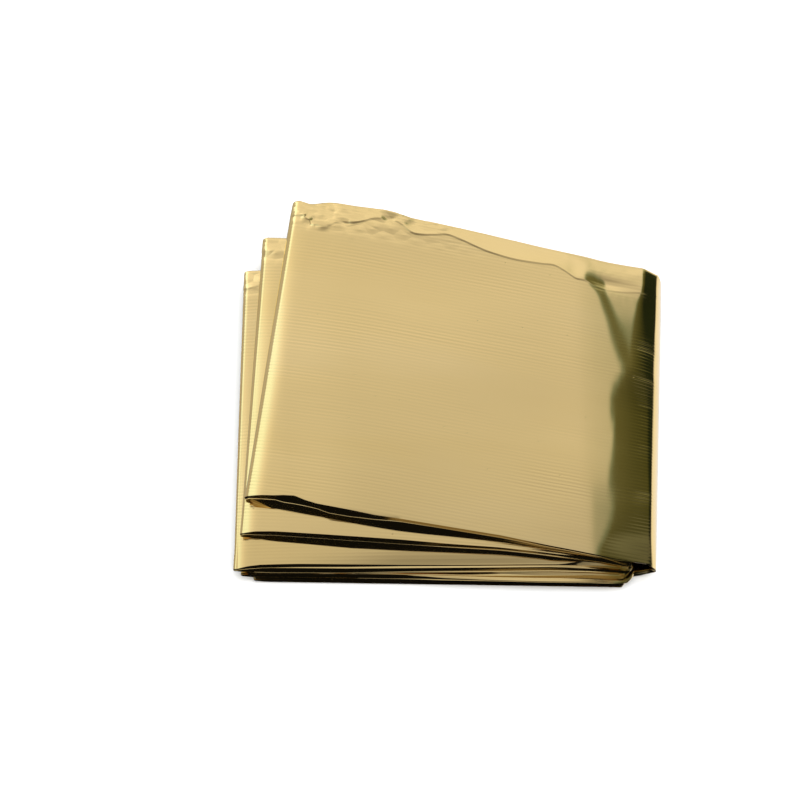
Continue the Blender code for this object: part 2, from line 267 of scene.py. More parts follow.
# Front edge of the wrap: how wide its lip is, and its share of the thickness.
WRAP_EDGE_WIDTH = 0.8
WRAP_EDGE_SHARE = 0.25

# Corner cut off the front right-hand ends of the lower leaves.
CORNER_CUT = 2.4
CORNER_RUN = 3.2
CORNER_POWER = 1.5
CUT_FOLDS = ("right CD", "right DE", "right end")

# How far behind the front edge its set-back still shifts the rows.
EDGE_RUN = 14.0

# Outline of the back edge of the top leaves: how far it bulges from a straight
# line between its corners.
BACK_BULGE = (
    # x, mm to the back
    (-47.3, 0.8),
    (-43.5, 0.2),
    (-37.0, 1.7),
    (-33.5, 1.8),
    (-20.0, 2.0),
    (-8.0, 1.2),
    (10.0, 0.9),
    (33.0, 0.1),
    (50.0, -0.2),
    (64.0, 0.0),
)
BULGE_SHARE = {"A": 1.0, "B": 0.4}
# Shares of the strip's width over which the bulge grows.
BULGE_FROM = 0.55
BULGE_RUN = 0.45

# Crease in front of the crumpled band along the back of the top leaf: where it
# runs, how steeply the film behind it falls to the back, and its lip.
BAND_CREASE = (
    # x, mm from the back edge, fall to the back edge, height of the lip
    (-47.5, 5.6, 0.85, 0.06),
    (-44.8, 4.9, 0.93, 0.12),
    (-43.3, 6.9, 1.24, 0.20),
    (-40.8, 7.6, 1.32, 0.22),
    (-37.6, 8.0, 1.24, 0.15),
    (-33.5, 6.4, 0.78, 0.07),
    (-29.4, 6.0, 1.16, 0.20),
    (-26.0, 4.8, 1.01, 0.20),
    (-23.5, 3.7, 0.70, 0.12),
    (-20.6, 3.2, 0.30, 0.10),
    (-18.0, 3.4, 0.10, 0.06),
    (-16.2, 3.0, 0.20, 0.06),
    (-14.6, 3.5, 0.54, 0.15),
    (-11.5, 5.2, 0.93, 0.22),
    (-7.8, 5.0, 0.78, 0.20),
    (-4.0, 4.1, 0.54, 0.15),
    (-0.5, 3.3, 0.70, 0.18),
    (3.8, 4.0, 0.85, 0.20),
    (10.0, 5.6, 1.08, 0.22),
    (12.6, 6.1, 1.16, 0.20),
    (20.4, 6.7, 1.24, 0.15),
    (29.8, 6.0, 1.24, 0.12),
    (33.3, 5.6, 1.16, 0.12),
    (36.7, 6.8, 1.24, 0.15),
    (40.1, 8.4, 1.32, 0.18),
    (43.0, 8.4, 1.32, 0.14),
    (46.6, 9.7, 1.30, 0.10),
    (60.0, 8.9, 1.20, 0.07),
    (67.0, 8.0, 0.90, 0.00),
)
# How far in front of a crease its lip begins to rise.
LIP_WIDTH = 0.6

# Towards the right the band falls gently at its crease and more steeply behind.
BAND_ROUND = 1.6
BAND_ROUND_X = 38.0
BAND_ROUND_RUN = 8.0

# Creases along the back of the leaves that show beside the top one: x at the
# left end, distance from the back edge there, change of it along the leaf, fall
# to the back and height of the lip.
BACK_FOLDS = {
    "B upper": (-57.0, 4.6, 0.06, 0.13, 0.09),
    "C upper": (-63.0, 6.4, -0.35, 0.12, 0.12),
}
# Fall of the other leaves over their band.
PLAIN_DROP = 0.5

# Small pleats pressed into the top leaf, and how they fade towards their ends.
PLEAT_FADE = 5.0
PLEAT_END = 0.15
PLEATS = (
    # x0, y0, x1, y1, half width, height
    (-35.1, 54.9, -28.6, 50.2, 0.8, 0.14),
    (-38.6, 56.2, -33.8, 57.6, 0.8, 0.12),
    (-36.2, 60.2, -33.6, 58.8, 0.8, -0.14),
    (-33.8, 57.6, -28.0, 55.2, 0.9, 0.14),
    (-44.8, 56.6, -38.0, 53.4, 0.9, 0.12),
    (-24.0, 54.6, -16.0, 52.8, 1.2, 0.06),
    (-46.9, 48.7, -27.5, 44.2, 0.9, 0.022),
    (-27.5, 44.2, -8.7, 40.1, 1.2, 0.018),
    (-15.4, 59.0, -9.6, 55.8, 0.8, -0.12),
    (-8.0, 56.0, -3.4, 54.6, 0.7, -0.10),
    (47.4, 33.2, 60.6, 28.2, 1.2, 0.05),
    (36.0, 44.6, 45.0, 40.6, 0.8, 0.06),
    (45.0, 43.2, 56.0, 40.0, 0.9, 0.06),
)

# Small facets of the crumpled film, each tilted as one plane, and the rim over
# which they fade, as shares of their own size.
FACET_RIM = 1.45
FACET_FADE = 0.45
FACETS = (
    # x, y, half length, half width, turn in degrees, rise to the right, rise to the back
    (-44.1, 55.7, 1.6, 1.2, -20.0, 0.0, 0.22),
    (-40.3, 55.0, 2.6, 1.5, -20.0, 0.05, -0.16),
    (-36.4, 59.2, 1.5, 0.9, -50.0, 0.0, 0.22),
    (-33.0, 56.0, 2.4, 0.9, -25.0, 0.0, 0.20),
    (-18.2, 58.6, 2.6, 2.6, -10.0, 0.0, 0.17),
    (-11.9, 55.2, 1.9, 0.9, -15.0, 0.0, 0.20),
    (-4.7, 54.8, 1.9, 0.8, -15.0, 0.0, 0.20),
    (-0.6, 52.6, 1.6, 0.8, 10.0, 0.0, 0.16),
)

# Gentle rises and dips of the whole packet above its lowest leaf.
SWELLS = (
    # x, y, radius, share of the height
    (-22.0, 6.0, 34.0, 0.035),
    (14.0, -22.0, 26.0, -0.028),
    (34.0, 16.0, 24.0, 0.022),
    (-4.0, 36.0, 22.0, -0.026),
    (-46.0, -22.0, 20.0, -0.03),
    (46.0, -34.0, 18.0, 0.02),
)

# Sag of the packet towards its front.
FRONT_SAG = 0.080
FRONT_SAG_START = -15.0
FRONT_SAG_RUN = 36.0
FRONT_SAG_MOST = 1.3

# Bend at the right-hand end of the top leaf.  The edge of the bend wanders; in
# front of the cusp it is one bend, and behind it a slanting crease with a
# lighter facet between the crease and the turn.
BEND_EDGE = (
    # y, x of the edge, softness, slope at the edge, crease width, facet slope,
    # share of the run that the facet holds, slope at the turn, mm from turn to reach
    (-58.0, 46.6, 2.4, 0.34, 0.0, 0.34, 0.0, 0.52, 2.9),
    (-53.6, 47.3, 2.2, 0.32, 0.0, 0.32, 0.0, 0.50, 2.8),
    (-49.3, 49.2, 1.8, 0.28, 0.0, 0.28, 0.0, 0.45, 2.7),
    (-43.7, 50.6, 1.5, 0.25, 0.0, 0.25, 0.0, 0.41, 2.7),
    (-38.0, 51.6, 1.1, 0.24, 0.0, 0.24, 0.0, 0.39, 2.8),
    (-34.0, 49.9, 1.2, 0.22, 0.0, 0.22, 0.0, 0.39, 2.9),
    (-29.1, 49.7, 1.1, 0.21, 0.0, 0.21, 0.0, 0.41, 3.2),
    (-22.8, 51.0, 0.9, 0.22, 0.0, 0.22, 0.0, 0.45, 3.5),
    (-16.1, 51.3, 0.8, 0.23, 0.0, 0.23, 0.0, 0.47, 3.7),
    (-12.8, 51.9, 0.35, 0.25, 0.0, 0.25, 0.0, 0.48, 3.7),
    (-7.7, 50.4, 0.8, 0.22, 0.0, 0.22, 0.0, 0.49, 3.8),
    (-3.4, 50.3, 1.0, 0.21, 0.0, 0.21, 0.0, 0.51, 3.9),
    (0.3, 51.9, 1.0, 0.22, 0.0, 0.22, 0.0, 0.53, 4.0),
    (3.7, 53.8, 0.8, 0.23, 0.0, 0.23, 0.0, 0.57, 4.4),
    (6.0, 55.4, 0.35, 0.25, 0.5, 0.24, 0.0, 0.60, 4.5),
    (9.4, 53.8, 0.8, 0.26, 2.6, 0.23, 0.05, 0.64, 4.6),
    (13.8, 52.2, 1.2, 0.26, 3.4, 0.205, 0.18, 0.67, 4.4),
    (17.5, 51.0, 1.3, 0.25, 3.6, 0.192, 0.32, 0.70, 3.8),
    (21.6, 50.2, 1.0, 0.25, 2.6, 0.172, 0.45, 0.76, 3.7),
    (26.6, 48.4, 0.9, 0.25, 2.4, 0.148, 0.63, 0.85, 4.1),
    (31.4, 46.4, 0.8, 0.24, 2.4, 0.134, 0.78, 0.92, 4.45),
    (33.6, 43.8, 0.7, 0.25, 4.6, 0.092, 0.85, 0.92, 4.7),
    (35.2, 43.0, 0.7, 0.25, 5.6, 0.066, 0.88, 0.92, 4.9),
    (37.2, 43.0, 0.7, 0.12, 4.0, 0.119, 0.92, 0.92, 4.9),
    (39.6, 43.3, 0.7, 0.10, 3.0, 0.105, 0.92, 0.92, 4.9),
    (43.0, 43.5, 1.5, 0.10, 2.0, 0.095, 0.92, 0.92, 4.9),
)

# Way round the bend: where it starts, the step that it is followed in, and the
# run over which it takes over from the leaf's own heights.
BEND_START_X = 30.0
BEND_STEP = 0.1
BEND_BLEND = 6.0
BEND_RUN_LEAST = 0.5

# The least width that counts as a crease, and how its facet eases in behind it.
CREASE_LEAST = 0.2
CREASE_EASE = 1.2

# Where the thinner front edge stops lowering the bend.
LOSS_END_X = 44.0
LOSS_END_RUN = 14.0

BASE_SLOPE = (
    # x, slope down to the right before the bend's edge
    (30.0, 0.05),
    (38.0, 0.09),
    (46.0, 0.125),
    (54.0, 0.14),
)

# Where the leaf's own slope hands over to the table's, and half the length over
# which it is measured.
OWN_SLOPE_X = 33.0
OWN_SLOPE_RUN = 12.0
OWN_SLOPE_HALF = 0.5

# Steeper corner at the front of the bend: its added slope, and where it begins in
# x and in y.
FRONT_FACET = 0.035
FRONT_FACET_X = 42.5
FRONT_FACET_RISE = 3.0
FRONT_FACET_Y = -30.0
FRONT_FACET_RUN = 8.0

# Share of the table's slope left towards the band at the back.
BAND_BASE_SHARE = 0.85
BAND_BASE_Y = 30.0
BAND_BASE_RUN = 9.0

# Shoulder, where the bend ends: how far in from the wrap's reach at the front and
# the back, the shares of the width over which that changes, and the slope there.
SHOULDER_IN = 2.1
SHOULDER_IN_BACK = 1.7
SHOULDER_BACK_FROM = 0.70
SHOULDER_BACK_RUN = 0.16
SHOULDER_SLOPE = 1.02

# How far the wrap's front edge is set back under the packet.
UNDER_SET_BACK = 0.85
UNDER_SET_RUN = 5.0

# Ease where the two straight runs of the top leaf meet in plan.
TOP_EASE = 6.0

# Outermost reach of the wrap, and where its long edges lie.
WRAP_X_FRONT = 64.3
WRAP_X_BACK = 67.3
WRAP_Y_FRONT = -56.3
WRAP_Y_BACK = 40.6

# Outer face of the wrap: where it goes between its shoulder and its reach, and
# from there under the packet.
WRAP_SIDE = (
    # share of the way in from the reach, share of the height above the reach
    (0.62, 0.80),
    (0.33, 0.56),
    (0.14, 0.33),
    (0.03, 0.13),
)
REACH_HEIGHT = 7.9
WRAP_UNDER = (
    # in from the reach, height
    (0.0, 7.9),
    (0.12, 6.8),
    (0.55, 5.6),
    (1.5, 4.3),
    (2.9, 3.0),
    (4.6, 1.8),
    (6.5, 0.9),
    (8.6, 0.35),
    (10.4, 0.05),
)

# Ends of leaves that are no folds, and how much closer together a leaf's stations
# lie at its left-hand end and at its right-hand end.
FREE_ENDS = ("left end", "under wrap", "right end")
LEFT_FINENESS = 0.7
RIGHT_FINENESS = 0.3

# The tables as columns, to read values between their rows.
EDGE_COLUMNS = {name: tuple(zip(*rows)) for name, rows in FRONT_EDGES.items()}
PLAIN_COLUMNS = tuple(zip(*PLAIN_EDGE))
DROOP_COLUMNS = tuple(zip(*DROOP))
CURL_COLUMNS = tuple(zip(*LIP_CURL))
BULGE_X, BULGE_PUSH = zip(*BACK_BULGE)
BAND_X, BAND_BACK, BAND_FALL, BAND_LIP = zip(*BAND_CREASE)
BEND_Y, *BEND_COLUMNS = zip(*BEND_EDGE)
BASE_X, BASE_SLOPES = zip(*BASE_SLOPE)

# Stations in x at which the heights of the leaves are worked out beforehand.
LEVEL_STEP = 0.25
LEVEL_START = -70.0
LEVEL_COUNT = 560


def curve_value(xs, ys, x):
    """Smooth curve through the stations (xs, ys), held level past its ends."""
    if x <= xs[0]:
        return ys[0]
    if x >= xs[-1]:
        return ys[-1]
    i = bisect.bisect_right(xs, x) - 1
    span = xs[i + 1] - xs[i]
    u = (x - xs[i]) / span
    chord = (ys[i + 1] - ys[i]) / span
    before = (ys[i] - ys[i - 1]) / (xs[i] - xs[i - 1]) if i > 0 else 0.0
    after = (ys[i + 2] - ys[i + 1]) / (xs[i + 2] - xs[i + 1]) if i + 2 < len(xs) else 0.0
    slope_0 = 0.5 * (before + chord)
    slope_1 = 0.5 * (chord + after)
    a = ys[i] * (2.0 * u ** 3 - 3.0 * u ** 2 + 1.0)
    b = span * slope_0 * (u ** 3 - 2.0 * u ** 2 + u)
    c = ys[i + 1] * (3.0 * u ** 2 - 2.0 * u ** 3)
    d = span * slope_1 * (u ** 3 - u ** 2)
    return a + b + c + d


def straight_value(xs, ys, x):
    """Straight lines through the stations (xs, ys), held level past its ends."""
    if x <= xs[0]:
        return ys[0]
    if x >= xs[-1]:
        return ys[-1]
    i = bisect.bisect_right(xs, x) - 1
    u = (x - xs[i]) / (xs[i + 1] - xs[i])
    return ys[i] + (ys[i + 1] - ys[i]) * u


def clamp(u):
    """Hold a share between 0 and 1."""
    return min(max(u, 0.0), 1.0)


def smooth(u):
    """Ease from 0 to 1."""
    u = clamp(u)
    return u * u * (3.0 - 2.0 * u)


def mix(a, b, u):
    """Blend from a to b."""
    return a + (b - a) * u


def swell(x, y):
    """Height factor of the packet at a place in plan."""
    ahead = min(max((FRONT_SAG_START - y) / FRONT_SAG_RUN, 0.0), FRONT_SAG_MOST)
    total = 1.0 - FRONT_SAG * ahead * ahead
    for cx, cy, radius, share in SWELLS:
        r = math.hypot(x - cx, y - cy) / radius
        total += share * math.exp(-r * r)
    return total


def leaf_levels():
    """Centre height and thickness of every leaf at even steps of x."""
    levels = []
    for n in range(LEVEL_COUNT):
        x = LEVEL_START + n * LEVEL_STEP
        height = 0.0
        column = []
        for index, leaf in enumerate(LEAVES):
            thick = curve_value(THICKNESS_X, leaf[3], x)
            if index:
                height += TOP_LAYER_GAP if index == TOP_LEAF else LAYER_GAP
            column.append((height + 0.5 * thick, thick))
            height += thick
        levels.append(column)
    return levels


LEVELS = leaf_levels()


def level(index, x, y):
    """Centre height and thickness of one leaf at a place in plan."""
    place = (x - LEVEL_START) / LEVEL_STEP
    n = min(max(int(place), 0), LEVEL_COUNT - 2)
    u = place - n
    (low, low_thick), (high, high_thick) = LEVELS[n][index], LEVELS[n + 1][index]
    centre = mix(low, high, u)
    thick = mix(low_thick, high_thick, u)
    if index == 0:
        return centre, thick
    base = UNDER_THICKNESS
    return base + (centre - base) * swell(x, y), thick


def partner(index):
    """The leaf joined to this one at its left-hand fold."""
    fold = LEAVES[index][1]
    for other, row in enumerate(LEAVES):
        if other != index and row[1] == fold:
            return other
    return None


def fold_point(name, t, inset):
    """Plan point on a fold line, set in from the outside of the fold."""
    fx, fy, bx, by = FOLDS[name]
    return mix(fx, bx, t) + inset, mix(fy, by, t)


def front_edge(name, x):
    """Distance back, lip, slope and lip share of a leaf's front edge."""
    xs, *columns = EDGE_COLUMNS.get(name, PLAIN_COLUMNS)
    return tuple(straight_value(xs, column, x) for column in columns)


def thinning(name, x, across):
    """Share of the leaf's thickness left near its front edge."""
    _, lip, slope, share = front_edge(name, x)
    left = mix(share, 1.0, clamp((across - lip) / slope))
    if name == DROOPING_LEAF:
        droop = straight_value(*DROOP_COLUMNS, x)
        left *= 1.0 - droop * (1.0 - min(max(across, DROOP_END) / DROOP_RUN, 1.0)) ** 2
    return left


def edge_row(name, x, across):
    """Move a front row of a leaf so that the lip and slope rows follow its creases."""
    _, lip, slope, _ = front_edge(name, x)
    if across <= LIP_ROW:
        return across * lip / LIP_ROW
    if across <= SLOPE_ROW:
        return lip + (across - LIP_ROW) * slope / (SLOPE_ROW - LIP_ROW)
    if across < FREE_ROW:
        done = lip + slope
        return done + (across - SLOPE_ROW) * (FREE_ROW - done) / (FREE_ROW - SLOPE_ROW)
    return across


def crease_row(x, across):
    """Move a row of the top leaf so that one of them follows the band's crease."""
    crease = STRIP_WIDTH - curve_value(BAND_X, BAND_BACK, x)
    if across <= BAND_ROW:
        moved = smooth((across - MOVING_ROWS_FROM) / (BAND_ROW - MOVING_ROWS_FROM))
        return across + (crease - BAND_ROW) * moved
    return crease + (across - BAND_ROW) * (STRIP_WIDTH - crease) / (STRIP_WIDTH - BAND_ROW)


def band_relief(x, across):
    """Height added by the crumpled band: a lip at its crease, and its fall behind."""
    crease = STRIP_WIDTH - curve_value(BAND_X, BAND_BACK, x)
    fall = curve_value(BAND_X, BAND_FALL, x)
    lip = curve_value(BAND_X, BAND_LIP, x)
    behind = across - crease
    if behind <= 0.0:
        return lip * max(1.0 + behind / LIP_WIDTH, 0.0)
    power = mix(1.0, BAND_ROUND, smooth((x - BAND_ROUND_X) / BAND_ROUND_RUN))
    return lip - fall * (behind / (STRIP_WIDTH - crease)) ** power


def back_fold_relief(name, x, across):
    """Height added along the back of the leaves below the top one."""
    start_x, start, slant, fall, lip = BACK_FOLDS[name]
    behind = across - (STRIP_WIDTH - start - slant * (x - start_x))
    if behind <= 0.0:
        return lip * smooth(1.0 + behind / LIP_WIDTH)
    return lip - fall * behind


def pleat_relief(x, y):
    """Height added by the small pleats."""
    total = 0.0
    for x0, y0, x1, y1, half, height in PLEATS:
        dx = x1 - x0
        dy = y1 - y0
        run = dx * dx + dy * dy
        u = clamp(((x - x0) * dx + (y - y0) * dy) / run)
        d = math.hypot(x - x0 - u * dx, y - y0 - u * dy)
        if d < half:
            end = smooth(PLEAT_FADE * min(u, 1.0 - u) + PLEAT_END)
            total += height * (1.0 - d / half) * end
    return total


def facet_relief(x, y):
    """Height added by the tilted facets."""
    total = 0.0
    for cx, cy, long, wide, turn, rise_x, rise_y in FACETS:
        dx, dy = x - cx, y - cy
        cos, sin = math.cos(math.radians(turn)), math.sin(math.radians(turn))
        r = math.hypot((dx * cos + dy * sin) / long, (dy * cos - dx * sin) / wide)
        if r < FACET_RIM:
            total += (rise_x * dx + rise_y * dy) * min((FACET_RIM - r) / FACET_FADE, 1.0)
    return total


def reach(t):
    """Outermost x of the wrap at a share of the strip's width."""
    return mix(WRAP_X_FRONT, WRAP_X_BACK, t)


def shoulder_x(t):
    """Where the bend ends and the side of the wrap begins."""
    back = smooth((t - SHOULDER_BACK_FROM) / SHOULDER_BACK_RUN)
    return reach(t) - mix(SHOULDER_IN, SHOULDER_IN_BACK, back)


def wrap_y(t):
    """Plan y of the wrap at a share of the strip's width."""
    return mix(WRAP_Y_FRONT, WRAP_Y_BACK, t)


def top_plan(x, t):
    """Plan y of the top leaf: two straight runs, eased where they meet."""
    lx, ly = fold_point("left A", t, LEFT_INSET)
    mx, my = fold_point("over wrap", t, 0.0)
    ex, ey = shoulder_x(t), wrap_y(t)
    past = x - mx
    bent = 0.5 * (past + math.hypot(past, TOP_EASE))
    first = (my - ly) / (mx - lx)
    second = (ey - my) / (ex - mx)
    return ly + first * (x - lx) + (second - first) * bent


def bend_heights(t):
    """Heights of the outer face from the flat of the top leaf to its shoulder."""
    _, y = fold_point("over wrap", t, 0.0)
    edge, soft, rise, crease, facet, hold, last, turn_in = (
        curve_value(BEND_Y, column, y) for column in BEND_COLUMNS
    )
    turn_x = reach(t) - turn_in
    calm = mix(1.0, BAND_BASE_SHARE, smooth((y - BAND_BASE_Y) / BAND_BASE_RUN))
    end_x = shoulder_x(t)
    centre, thick = level(TOP_LEAF, BEND_START_X, top_plan(BEND_START_X, t))
    run_start = edge + max(crease, 0.0)

    def slope_at(x):
        """Slope down to the right."""
        base = calm * straight_value(BASE_X, BASE_SLOPES, x)
        own_share = 1.0 - smooth((x - OWN_SLOPE_X) / OWN_SLOPE_RUN)
        if own_share > 0.0:
            (left_z, left_thick), (right_z, right_thick) = (
                level(TOP_LEAF, place, top_plan(place, t))
                for place in (x - OWN_SLOPE_HALF, x + OWN_SLOPE_HALF)
            )
            own = left_z + 0.5 * left_thick - right_z - 0.5 * right_thick
            base = mix(base, own, own_share)
        front = smooth((FRONT_FACET_Y - y) / FRONT_FACET_RUN)
        base += FRONT_FACET * smooth((x - FRONT_FACET_X) / FRONT_FACET_RISE) * front
        step = smooth((x - edge + soft) / (2.0 * soft))
        bent = rise
        if crease > CREASE_LEAST:
            bent = mix(rise, facet, smooth((x - run_start) / CREASE_EASE))
        near = (x - run_start) / max(turn_x - run_start, BEND_RUN_LEAST)
        slope = mix(base, mix(bent, last, clamp((near - hold) / (1.0 - hold))), step)
        if x > turn_x:
            slope = mix(last, SHOULDER_SLOPE, (x - turn_x) / (end_x - turn_x))
        return slope

    xs = [BEND_START_X]
    heights = [centre + 0.5 * thick]
    while xs[-1] < end_x - 1.0e-6:
        step = min(BEND_STEP, end_x - xs[-1])
        heights.append(heights[-1] - step * slope_at(xs[-1] + 0.5 * step))
        xs.append(xs[-1] + step)
    return xs, heights


BEND_CACHE = {}


def bend(t):
    """The bend's stations and heights for one row, worked out once."""
    key = round(t, 6)
    if key not in BEND_CACHE:
        BEND_CACHE[key] = bend_heights(t)
    return BEND_CACHE[key]


def leaf_walls(index, x, y, across, reach_in):
    """Heights of the underside and the upper face of one leaf, before its lip thins.

    The lower leaf of a pair swells to meet its neighbours towards the front, and
    both get thinner as they roll into their left-hand fold.
    """
    name = LEAVES[index][0]
    centre, thick = level(index, x, y)
    low, high = centre - 0.5 * thick, centre + 0.5 * thick
    mate = partner(index)
    lower = mate is not None and mate > index
    if lower:
        near = 1.0 - smooth(across / FRONT_GAP_RUN)
        closed = smooth((x - CLOSED_FROM[name[0]]) / CLOSING_RUN)
        gap = TOP_LAYER_GAP if mate == TOP_LEAF else LAYER_GAP
        high += (gap - FRONT_GAP) * near * closed
        low -= (LAYER_GAP - FRONT_GAP) * near
    roll = max(1.0 - reach_in / ROLL_RUN, 0.0) ** ROLL_POWER
    least = min(ROLL_LEAST, high - low)
    roll *= ROLL_DROP * mix(1.0, ROLL_BACK_SHARE, across / STRIP_WIDTH)
    full = max(high - low - roll, least)
    if lower:
        low = high - full
    else:
        high = low + full
    return low, high


def pair_heights(index, x, y, across, reach_in):
    """Centre height and thickness of a leaf, thinned at its front and rolled at its fold."""
    name = LEAVES[index][0]
    low, high = leaf_walls(index, x, y, across, reach_in)
    now = (high - low) * thinning(name, x, across)
    curl = 0.0
    if name == CURLED_LEAF:
        lip = front_edge(name, x)[1]
        curl = straight_value(*CURL_COLUMNS, x) * max(1.0 - across / lip, 0.0)
    return low + 0.5 * now + curl, now


def back_bulge(name, x, t):
    """How far a place near the back edge is pushed to the back."""
    if name[0] not in BULGE_SHARE:
        return 0.0
    push = curve_value(BULGE_X, BULGE_PUSH, x)
    return push * smooth((t - BULGE_FROM) / BULGE_RUN) * BULGE_SHARE[name[0]]


def leaf_point(index, s, across):
    """Centre point, thickness and place across the film, at a share of a leaf's length."""
    name, left, right = LEAVES[index][:3]
    lx, _ = fold_point(left, across / STRIP_WIDTH, LEFT_INSET)
    rx, _ = fold_point(right, across / STRIP_WIDTH, -RIGHT_INSET)
    rough_x = mix(lx, rx, s)
    across = edge_row(name, rough_x, across)
    inset = front_edge(name, rough_x)[0] * smooth(1.0 - across / EDGE_RUN)
    t = (across + inset) / STRIP_WIDTH
    lx, ly = fold_point(left, t, 0.0 if left in FREE_ENDS else LEFT_INSET)
    rx, ry = fold_point(right, t, 0.0 if right in FREE_ENDS else -RIGHT_INSET)
    if right in CUT_FOLDS:
        rx -= CORNER_CUT * (1.0 - min(across / CORNER_RUN, 1.0)) ** CORNER_POWER
    x = mix(lx, rx, s)
    push = back_bulge(name, x, t)
    y = mix(ly, ry, s) + push
    z, thick = pair_heights(index, x, y, across, x - lx)
    if name in BACK_FOLDS:
        z += back_fold_relief(name, x, across)
    elif index:
        z -= PLAIN_DROP * smooth((across - BAND_ROW) / (STRIP_WIDTH - BAND_ROW))
    return (x, y, z), thick, STRIP_WIDTH * t + push


def top_point(x_share, across):
    """Centre point of the top leaf, from its left fold to the shoulder of the wrap."""
    t = across / STRIP_WIDTH
    lx, _ = fold_point("left A", t, LEFT_INSET)
    x = mix(lx, shoulder_x(t), x_share)
    across = crease_row(x, edge_row("A upper", x, across))
    inset = front_edge("A upper", x)[0] * smooth(1.0 - across / EDGE_RUN)
    t = (across + inset) / STRIP_WIDTH
    lx, _ = fold_point("left A", t, LEFT_INSET)
    x = mix(lx, shoulder_x(t), x_share)
    push = back_bulge("A upper", x, t)
    y = top_plan(x, t) + push
    z, thick = pair_heights(TOP_LEAF, x, y, across, x - lx)
    if x > BEND_START_X:
        xs, heights = bend(t)
        top = straight_value(xs, heights, x)
        share = smooth((x - BEND_START_X) / BEND_BLEND)
        flat_top = z + 0.5 * thick
        thick = mix(thick, EDGE_THICKNESS * thinning("A upper", x, across), share)
        full_z, full_thick = level(TOP_LEAF, x, y)
        loss = (full_z + 0.5 * full_thick) - flat_top
        bent_top = top - loss * (1.0 - smooth((x - LOSS_END_X) / LOSS_END_RUN))
        near = min(x, xs[-1] - BEND_STEP)
        before, after = (
            straight_value(xs, heights, place) for place in (near - BEND_STEP, near + BEND_STEP)
        )
        tilt = math.atan((before - after) / (2.0 * BEND_STEP)) * share
        z = mix(flat_top, bent_top, share) - 0.5 * thick * math.cos(tilt)
        x -= 0.5 * thick * math.sin(tilt)
    relief = pleat_relief(x, y) + facet_relief(x, y) + band_relief(x, across)
    return (x, y, z + relief), thick, STRIP_WIDTH * t + push


def turn_points(upper, lower, out, shape):
    """Points of a half-round fold from an upper leaf end down to a lower one."""
    (ux, uy, uz), thick, place = upper
    (lx, ly, lz), thick_low, place_low = lower
    power, stand = shape
    radius = 0.5 * (uz - lz) * stand
    points = []
    for step in range(1, FOLD_STEPS):
        angle = math.pi * step / FOLD_STEPS
        share = 0.5 * (1.0 - math.cos(angle))
        x = mix(ux, lx, share) + out * radius * math.sin(angle) ** power
        y = mix(uy, ly, share)
        z = mix(uz, lz, share)
        points.append(((x, y, z), mix(thick, thick_low, share), mix(place, place_low, share)))
    return points


def spread(count, fine_left, fine_right):
    """Shares of a leaf's length, closer together towards the ends."""
    shares = []
    for n in range(count):
        u = n / (count - 1)
        left = u ** (1.0 + fine_left)
        right = 1.0 - (1.0 - u) ** (1.0 + fine_right)
        shares.append(mix(left, right, smooth(u)))
    return shares


TOP_STEPS = (
    # share of the top leaf, step between its stations there
    (0.0, 0.0022),
    (0.02, 0.0032),
    (0.05, 0.0050),
    (0.48, 0.0056),
    (0.54, 0.0072),
    (0.72, 0.0072),
    (0.78, 0.0038),
    (0.97, 0.0034),
    (1.0, 0.0026),
)
STEP_SHARES, STEP_LENGTHS = zip(*TOP_STEPS)


def top_shares():
    """Stations of the top leaf: fine at the left fold and over the bend."""
    shares = [0.0]
    while shares[-1] < 1.0:
        shares.append(shares[-1] + straight_value(STEP_SHARES, STEP_LENGTHS, shares[-1]))
    end = shares[-1]
    return [s / end for s in shares]


def offset_profile(points, thick):
    """Move an outer profile in x and z inward by half the film's thickness."""
    inner = []
    for n, (x, y, z) in enumerate(points):
        ax, _, az = points[max(n - 1, 0)]
        bx, _, bz = points[min(n + 1, len(points) - 1)]
        length = math.hypot(bx - ax, bz - az) or 1.0
        nx, nz = (bz - az) / length, -(bx - ax) / length
        # The path runs from the bottom up and round, so its left side is inward.
        inner.append((x - nx * 0.5 * thick, y, z - nz * 0.5 * thick))
    return inner


def wrap_points(across):
    """Centre points of the wrap, from the floor up to its shoulder."""
    across = edge_row("A upper", WRAP_X_FRONT, across)
    t = across / STRIP_WIDTH
    y = wrap_y(t)
    far = reach(t)
    shoulder = bend(t)[1][-1]
    outer = [(far - inward, y, height) for inward, height in reversed(WRAP_UNDER)]
    outer += [
        (mix(far, shoulder_x(t), inward), y, mix(REACH_HEIGHT, shoulder, up))
        for inward, up in reversed(WRAP_SIDE)
    ]
    thick = EDGE_THICKNESS * mix(WRAP_EDGE_SHARE, 1.0, min(across / WRAP_EDGE_WIDTH, 1.0))
    inner = offset_profile(outer, thick)
    ahead = 1.0 - smooth(across / EDGE_RUN)
    points = []
    for x, y, z in inner:
        back = UNDER_SET_BACK * ahead * smooth((REACH_HEIGHT - z) / UNDER_SET_RUN)
        points.append(((x, y + back, max(z, 0.5 * thick)), thick, across))
    return points


def strip_column(across, shares):
    """All points of the strip at one distance across it, in path order."""
    under = spread(LEAVES[0][4], RIGHT_FINENESS, RIGHT_FINENESS)
    points = [leaf_point(0, s, across) for s in under]
    points += wrap_points(across)
    points += [top_point(s, across) for s in reversed(shares)]
    for index in range(TOP_LEAF - 1, 0, -1):
        stations = spread(LEAVES[index][4], LEFT_FINENESS, RIGHT_FINENESS)
        leftward = (TOP_LEAF - index) % 2 == 0
        run = list(reversed(stations)) if leftward else stations
        leaf = [leaf_point(index, s, across) for s in run]
        out = 1.0 if leftward else -1.0
        shape = ROUND_FOLD if leftward else FOLD_SHAPES.get(LEAVES[index][1], ROUND_FOLD)
        points += turn_points(points[-1], leaf[0], out, shape)
        points += leaf
    return points


